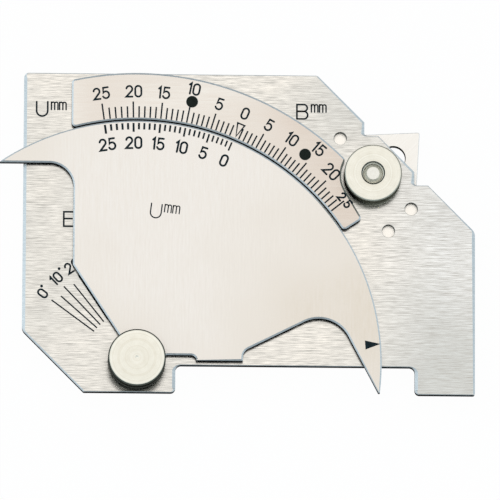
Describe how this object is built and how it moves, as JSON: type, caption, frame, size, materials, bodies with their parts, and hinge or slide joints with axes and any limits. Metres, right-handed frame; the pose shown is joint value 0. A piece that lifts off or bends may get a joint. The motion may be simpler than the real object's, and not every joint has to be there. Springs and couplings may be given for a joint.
{
  "type": "weld gauge",
  "caption": "Flat steel weld gauge: a swing plate turns on a pivot against a curved scale, and a pointed throat slide behind the base plate is held by a thumb nut.",
  "frame": {"origin": "middle of the outline at rest, on the surface that the gauge lies on with its front up", "axes": "+X along the feet to the right, +Y from the feet to the top edge, +Z out of the front face"},
  "size_m": [0.0996, 0.0676, 0.0115],
  "materials": {
    "base_steel": "brushed along the feet",
    "satin_steel": "fine satin",
    "scale_steel": "fine satin",
    "blackened_steel": "blackened, matt",
    "turned_steel": "turned",
    "knob_metal": "turned face, bright chamfer",
    "slide_steel": "ground",
    "rivet_steel": "ground ends"
  },
  "bodies": {
    "base": {"base_plate": "base_steel", "scale_plate": "scale_steel", "scale_pins": "blackened_steel", "pivot_bush": "turned_steel", "guide_rail_upper": "base_steel", "guide_rail_lower": "base_steel", "rail_rivets": "rivet_steel", "clamp_stud": "turned_steel", "clamp_washer": "turned_steel"},
    "swing": {"swing_plate": "satin_steel"},
    "pivot_knob": {"pivot_screw": "knob_metal", "pivot_washer": "turned_steel"},
    "slide": {"throat_slide": "slide_steel"},
    "thumb_nut": {"clamp_nut": "knob_metal"}
  },
  "joints": [
    {"name": "swing_turn", "type": "hinge", "parent": "base", "child": "swing", "pos_m": [-0.02071, -0.02756, 0.0048], "axis": [0, 0, 1], "range_deg": [-31, 95.5]},
    {"name": "knob_turn", "type": "hinge", "parent": "base", "child": "pivot_knob", "pos_m": [-0.02071, -0.02756, 0.00705], "axis": [0, 0, 1], "range_deg": [0, 360]},
    {"name": "slide_travel", "type": "slide", "parent": "base", "child": "slide", "axis": [0.7071, 0.7071, 0], "range_m": [-0.005, 0.0165]},
    {"name": "nut_turn", "type": "hinge", "parent": "base", "child": "thumb_nut", "pos_m": [0.0283, 0.01228, 0.0052], "axis": [0, 0, 1], "range_deg": [0, 360]}
  ]
}
